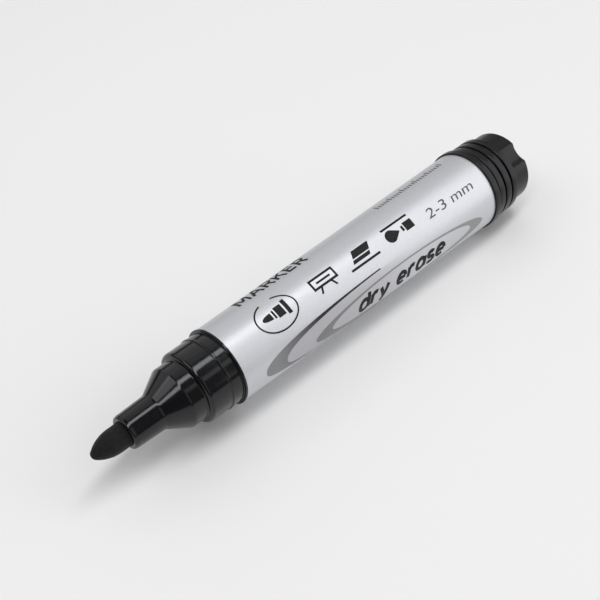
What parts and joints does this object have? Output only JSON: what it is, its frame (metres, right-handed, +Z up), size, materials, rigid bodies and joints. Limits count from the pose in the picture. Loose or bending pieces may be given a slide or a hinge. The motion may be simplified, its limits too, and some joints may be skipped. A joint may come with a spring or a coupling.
{
  "type": "whiteboard marker",
  "caption": "Thick round whiteboard marker without its cap: bullet felt nib, stepped black nose, tapered silver barrel and a ringed black tail plug.",
  "frame": {"origin": "middle of the length on the line where the widest band meets the surface it lies on", "axes": "+X along the marker's axis from the nib towards the tail, +Z up, with the marker lying level"},
  "size_m": [0.1164, 0.0188, 0.0188],
  "materials": {
    "nib_felt": "pressed polyester felt soaked with black ink",
    "nose_plastic": "polished black moulded plastic",
    "barrel_plastic": "natural moulded plastic under the film",
    "silver_film": "satin pearl-silver film printed in black and grey",
    "wrap_film": "thin glossy film",
    "core_fibre": "bundled fibre soaked with black ink",
    "tail_plastic": "satin black moulded plastic"
  },
  "bodies": {
    "marker_body": {"front_section": "nose_plastic", "barrel": "barrel_plastic", "label_film": "silver_film", "core_wrap": "wrap_film", "ink_core": "core_fibre"},
    "nib": {"nib": "nib_felt"},
    "tail_plug": {"tail_plug": "tail_plastic"}
  },
  "joints": [
    {"name": "nib_pull", "type": "slide", "parent": "marker_body", "child": "nib", "axis": [-1, 0, 0], "range_m": [0, 0.038]},
    {"name": "tail_plug_pull", "type": "slide", "parent": "marker_body", "child": "tail_plug", "axis": [1, 0, 0], "range_m": [0, 0.012]}
  ]
}
